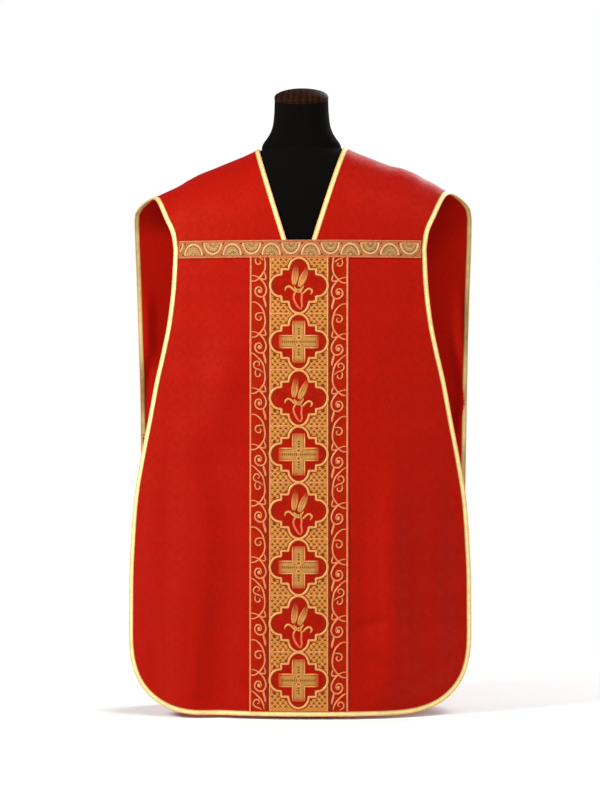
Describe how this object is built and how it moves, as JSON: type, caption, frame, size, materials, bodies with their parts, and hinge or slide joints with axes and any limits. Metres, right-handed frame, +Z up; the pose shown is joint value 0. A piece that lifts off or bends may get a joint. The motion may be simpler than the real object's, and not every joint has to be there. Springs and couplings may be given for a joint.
{
  "type": "roman chasuble on a dress form",
  "caption": "Red damask chasuble with open sides, gold braid and a woven front orphrey, hung on a limbless dress form on a low round base.",
  "frame": {"origin": "middle of the base's underside, on the floor", "axes": "+Z up; the garment's front faces -Y; +X to the viewer's right"},
  "size_m": [0.6758, 0.302, 1.2329],
  "materials": {
    "red_damask": "woven, soft sheen",
    "red_lining": "matt twill",
    "orphrey": "woven, metallic gold on red",
    "galloon": "woven, metallic",
    "gold_braid": "ribbed, metallic sheen",
    "black_jersey": "matt jersey",
    "dark_wood": "satin varnish",
    "brushed_steel": "brushed"
  },
  "bodies": {
    "root": {"front_panel": "red_damask", "back_panel": "red_damask", "back_lining": "red_lining", "front_orphrey": "orphrey", "chest_galloon": "galloon", "edge_braid": "gold_braid", "neck_braid": "gold_braid", "form_torso": "black_jersey", "form_neck_cap": "dark_wood", "form_pole": "brushed_steel", "form_base": "brushed_steel"}
  },
  "joints": []
}
